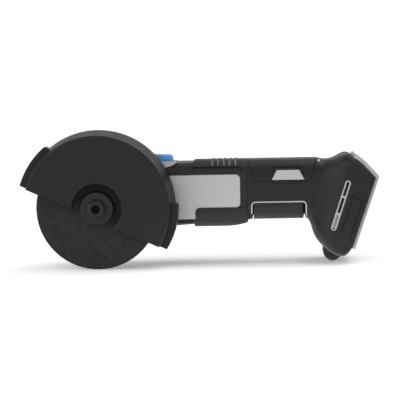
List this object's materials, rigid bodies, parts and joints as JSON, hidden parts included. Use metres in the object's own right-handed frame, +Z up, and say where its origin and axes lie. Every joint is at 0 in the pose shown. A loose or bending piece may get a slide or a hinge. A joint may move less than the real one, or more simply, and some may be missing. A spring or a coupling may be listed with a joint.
{
  "type": "cordless angle grinder",
  "caption": "One-handed cordless angle grinder: gear head with a guarded cutting disc, barrel grip with a trigger, and a flared foot that takes a slide-on battery.",
  "frame": {"origin": "centre of the cutting disc, on the spindle axis", "axes": "+X from the spindle to the battery foot, +Y from the disc through the gear head to the far side, +Z up"},
  "size_m": [0.2211, 0.0724, 0.0857],
  "materials": {
    "black_plastic": "fine moulded grain",
    "black_metal": "black painted casting",
    "guard_black": "matte powder coat",
    "rubber": "matte soft grip",
    "light_grey": "fine moulded grain",
    "blue": "satin",
    "abrasive": "bonded abrasive",
    "steel": "turned",
    "dark_steel": "black oxide",
    "copper": "enamelled copper",
    "board": "lacquered",
    "lead": "insulated wire"
  },
  "bodies": {
    "housing": {"battery_contacts": "copper", "battery_seat": "light_grey", "bearing_cover": "black_metal", "controller_board": "board", "cover_screws": "dark_steel", "foot_lug": "black_plastic", "gear_housing": "black_metal", "gear_screws": "dark_steel", "guard_retainer": "steel", "housing_far": "black_plastic", "housing_near": "black_plastic", "housing_screws": "dark_steel", "lock_cradle": "light_grey", "lock_spring": "steel", "motor_end_cap": "black_plastic", "motor_front_bearing": "steel", "motor_rear_bearing": "steel", "motor_stator": "steel", "motor_windings": "copper", "overmould_far": "rubber", "overmould_near": "rubber", "power_leads": "lead", "side_panel_far": "light_grey", "side_panel_near": "light_grey", "slot_trim_far": "light_grey", "slot_trim_near": "light_grey", "spindle_bearing": "steel", "spindle_far_bearing": "steel", "switch_body": "black_plastic", "terminal_block": "black_plastic", "top_cover": "black_plastic", "trigger_pin": "steel", "trigger_trim": "light_grey"},
    "spindle": {"spindle": "steel", "inner_flange": "steel", "cutting_disc": "abrasive", "outer_flange": "steel", "clamp_screw": "dark_steel", "bevel_gear": "steel"},
    "motor": {"motor_shaft": "steel", "rotor": "steel", "fan": "black_plastic", "bevel_pinion": "steel"},
    "guard": {"guard": "guard_black"},
    "lock": {"lock_button": "blue", "lock_pin": "steel"},
    "trigger": {"trigger": "black_plastic"},
    "lock_off": {"lock_off_button": "light_grey"}
  },
  "joints": [
    {"name": "spindle_spin", "type": "hinge", "parent": "housing", "child": "spindle", "pos_m": [0, 0, 0], "axis": [0, 1, 0], "continuous": true},
    {"name": "motor_spin", "type": "hinge", "parent": "housing", "child": "motor", "pos_m": [0, 0.033, 0], "axis": [1, 0, 0], "continuous": true},
    {"name": "guard_swivel", "type": "hinge", "parent": "housing", "child": "guard", "pos_m": [0, 0, 0], "axis": [0, 1, 0], "range_deg": [-60, 60]},
    {"name": "lock_press", "type": "slide", "parent": "housing", "child": "lock", "axis": [0, 0, -1], "range_m": [0, 0.003], "stiffness_N_per_m": 600, "springref_m": -0.002, "deforming": ["lock_spring"]},
    {"name": "trigger_pull", "type": "hinge", "parent": "housing", "child": "trigger", "pos_m": [0.0995, 0.033, 0.0046], "axis": [0, -1, 0], "range_deg": [0, 6], "stiffness_Nm_per_rad": 0.4, "springref_deg": -5.73},
    {"name": "lock_off_slide", "type": "slide", "parent": "housing", "child": "lock_off", "axis": [0, 1, 0], "range_m": [-0.002, 0.002], "stiffness_N_per_m": 300}
  ],
  "couplings": [
    {"joint": "motor_spin", "follows": "spindle_spin", "ratio": 2}
  ]
}
